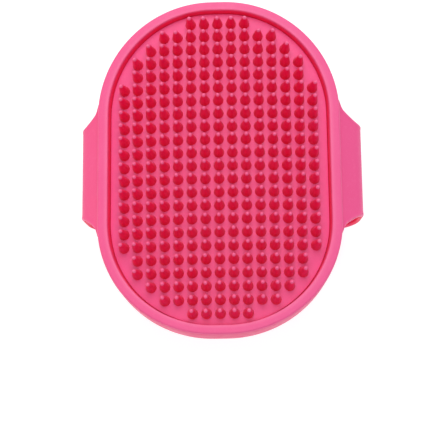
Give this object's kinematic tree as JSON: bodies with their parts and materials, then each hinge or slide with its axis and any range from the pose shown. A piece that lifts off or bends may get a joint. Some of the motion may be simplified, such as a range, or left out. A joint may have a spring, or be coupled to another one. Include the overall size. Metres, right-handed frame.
{
  "type": "rubber curry brush",
  "caption": "Oval rubber curry brush: conical nubs inside a raised rim, and a hand strap in two halves that button together behind it with mushroom studs.",
  "frame": {"origin": "on the surface the brush stands on, midway along and across it", "axes": "+Z out of the nub face, +Y along the body's length, +X across it towards the half of the strap that has the holes"},
  "size_m": [0.1006, 0.123, 0.0432],
  "materials": {
    "body_pink": "satin",
    "nub_crimson": "satin"
  },
  "bodies": {
    "brush": {"brush_body": "body_pink", "nub_mat": "nub_crimson"},
    "stud_half": {"stud_strap": "body_pink", "strap_stud_1": "body_pink", "strap_stud_2": "body_pink", "strap_stud_3": "body_pink", "strap_stud_4": "body_pink"},
    "hole_half": {"hole_strap": "body_pink"}
  },
  "joints": [
    {"name": "hole_strap_swing", "type": "hinge", "parent": "brush", "child": "hole_half", "pos_m": [0.0487, 0, 0.02913], "axis": [0, -1, 0], "range_deg": [0, 120], "deforming": ["strap_stud_1", "strap_stud_2", "strap_stud_3", "strap_stud_4"]},
    {"name": "stud_strap_swing", "type": "hinge", "parent": "brush", "child": "stud_half", "pos_m": [-0.0487, 0, 0.02913], "axis": [0, 1, 0], "range_deg": [0, 60]}
  ],
  "couplings": [
    {"joint": "stud_strap_swing", "follows": "hole_strap_swing", "ratio": 0.5}
  ]
}
